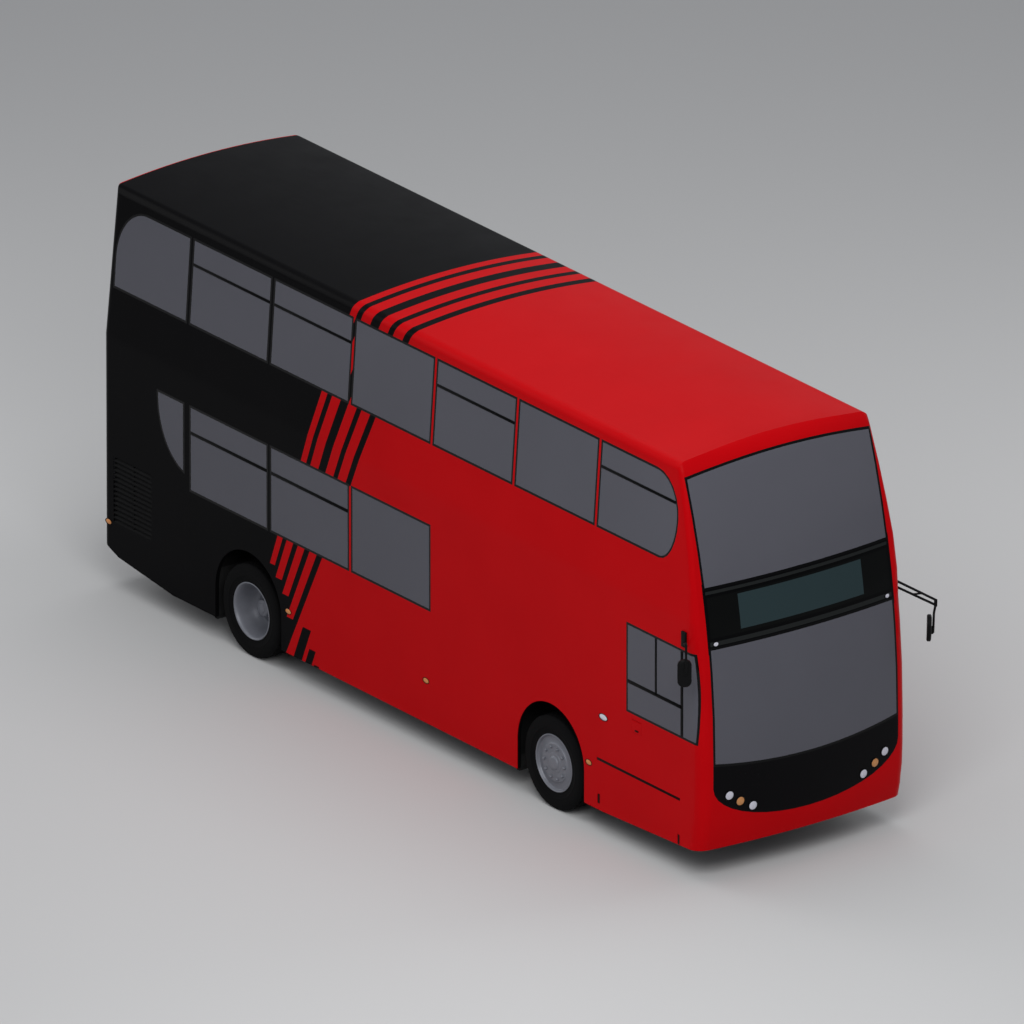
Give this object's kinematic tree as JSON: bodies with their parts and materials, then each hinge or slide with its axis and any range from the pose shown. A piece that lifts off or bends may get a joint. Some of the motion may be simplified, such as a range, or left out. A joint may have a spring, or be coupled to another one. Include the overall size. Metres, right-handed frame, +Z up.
{
  "type": "double decker bus",
  "caption": "Two-deck passenger bus with hollow glazed decks, swinging entrance leaves, steered front wheels and twin rear wheels that roll.",
  "frame": {"origin": "on the floor under the middle of the bus's bounding box", "axes": "+Z up, the front faces -Y, +X towards the nearside with the doors"},
  "size_m": [3.1505, 10.153, 4.36],
  "materials": {
    "coachwork": "gloss two-colour coach paint",
    "coachwork_black": "gloss coach paint",
    "lamp_panel": "gloss black moulding",
    "glass": "tinted bonded glass with black border",
    "display_glass": "dark glass",
    "lamp_clear": "clear lens",
    "lamp_amber": "amber lens",
    "lamp_red": "red lens",
    "tyre": "black rubber",
    "rim": "grey wheel paint",
    "chassis": "satin underbody coating",
    "running_gear": "dark castings",
    "floor": "safety flooring",
    "seat": "moquette over moulded shells",
    "rail": "powder coat",
    "cab_plastic": "grained moulding",
    "mirror_housing": "black moulding",
    "grille": "black paint",
    "engine": "rough casting"
  },
  "bodies": {
    "body": {"offside_wall": "coachwork", "nearside_wall": "coachwork", "roof_panel": "coachwork", "front_upper_panel": "coachwork", "front_lower_panel": "coachwork", "rear_panel": "coachwork_black", "front_mask": "lamp_panel", "upper_windscreen": "glass", "lower_windscreen": "glass", "destination_glass": "display_glass", "rear_window": "glass", "offside_glazing": "glass", "cab_window_glass": "glass", "nearside_glazing": "glass", "front_lamps": "lamp_clear", "rear_lamps": "lamp_red", "side_lamps": "lamp_amber", "engine_grille": "grille", "lower_floor": "floor", "upper_floor": "floor", "staircase": "floor", "upper_seats": "seat", "lower_seats": "seat", "driver_seat": "seat", "handrails": "rail", "dashboard": "cab_plastic", "cab_partition": "cab_plastic", "chassis_frame": "chassis", "front_axle_beam": "running_gear", "rear_axle_housing": "running_gear", "engine_block": "engine", "offside_mirror": "mirror_housing", "nearside_mirror": "mirror_housing"},
    "front_offside_wheel": {"front_offside_rim": "rim", "front_offside_tyre": "tyre"},
    "front_nearside_wheel": {"front_nearside_rim": "rim", "front_nearside_tyre": "tyre"},
    "rear_offside_wheel": {"rear_offside_rim": "rim", "rear_offside_tyre": "tyre"},
    "rear_nearside_wheel": {"rear_nearside_rim": "rim", "rear_nearside_tyre": "tyre"},
    "offside_knuckle": {"offside_knuckle": "running_gear"},
    "nearside_knuckle": {"nearside_knuckle": "running_gear"},
    "tie_rod": {"tie_rod": "running_gear"},
    "door_front_leaf": {"door_front_leaf": "lamp_panel", "door_front_glass": "glass"},
    "door_rear_leaf": {"door_rear_leaf": "lamp_panel", "door_rear_glass": "glass"},
    "cab_door": {"cab_door": "cab_plastic"},
    "engine_cover": {"engine_cover": "coachwork_black"},
    "access_flap": {"access_flap": "coachwork"}
  },
  "joints": [
    {"name": "steer_offside", "type": "hinge", "parent": "body", "child": "offside_knuckle", "pos_m": [-0.93, -2.385, 0.49], "axis": [0, 0, 1], "range_deg": [-42, 42]},
    {"name": "steer_nearside", "type": "hinge", "parent": "body", "child": "nearside_knuckle", "pos_m": [0.93, -2.385, 0.49], "axis": [0, 0, 1], "range_deg": [-42, 42]},
    {"name": "tie_rod_swivel", "type": "hinge", "parent": "offside_knuckle", "child": "tie_rod", "pos_m": [-0.93, -2.135, 0.272], "axis": [0, 0, 1], "range_deg": [-42, 42]},
    {"name": "front_offside_wheel_roll", "type": "hinge", "parent": "offside_knuckle", "child": "front_offside_wheel", "pos_m": [-1.1125, -2.385, 0.49], "axis": [1, 0, 0], "continuous": true},
    {"name": "front_nearside_wheel_roll", "type": "hinge", "parent": "nearside_knuckle", "child": "front_nearside_wheel", "pos_m": [1.1125, -2.385, 0.49], "axis": [1, 0, 0], "continuous": true},
    {"name": "rear_offside_wheel_roll", "type": "hinge", "parent": "body", "child": "rear_offside_wheel", "pos_m": [-1.1125, 2.625, 0.49], "axis": [1, 0, 0], "continuous": true},
    {"name": "rear_nearside_wheel_roll", "type": "hinge", "parent": "body", "child": "rear_nearside_wheel", "pos_m": [1.1125, 2.625, 0.49], "axis": [1, 0, 0], "continuous": true},
    {"name": "door_front_swing", "type": "hinge", "parent": "body", "child": "door_front_leaf", "pos_m": [1.215, -4.53, 1.3], "axis": [0, 0, 1], "range_deg": [0, 88]},
    {"name": "door_rear_swing", "type": "hinge", "parent": "body", "child": "door_rear_leaf", "pos_m": [1.215, -3.48, 1.3], "axis": [0, 0, -1], "range_deg": [0, 88]},
    {"name": "cab_door_swing", "type": "hinge", "parent": "body", "child": "cab_door", "pos_m": [-0.43, -4.155, 0.9], "axis": [0, 0, -1], "range_deg": [0, 90]},
    {"name": "engine_cover_lift", "type": "hinge", "parent": "body", "child": "engine_cover", "pos_m": [0, 5.053, 1.464], "axis": [1, 0, 0], "range_deg": [0, 75]},
    {"name": "access_flap_lift", "type": "hinge", "parent": "body", "child": "access_flap", "pos_m": [-1.268, -3.792, 1.395], "axis": [0, 1, 0], "range_deg": [0, 100]}
  ],
  "couplings": [
    {"joint": "steer_nearside", "follows": "steer_offside", "ratio": 1},
    {"joint": "tie_rod_swivel", "follows": "steer_offside", "ratio": -1}
  ]
}
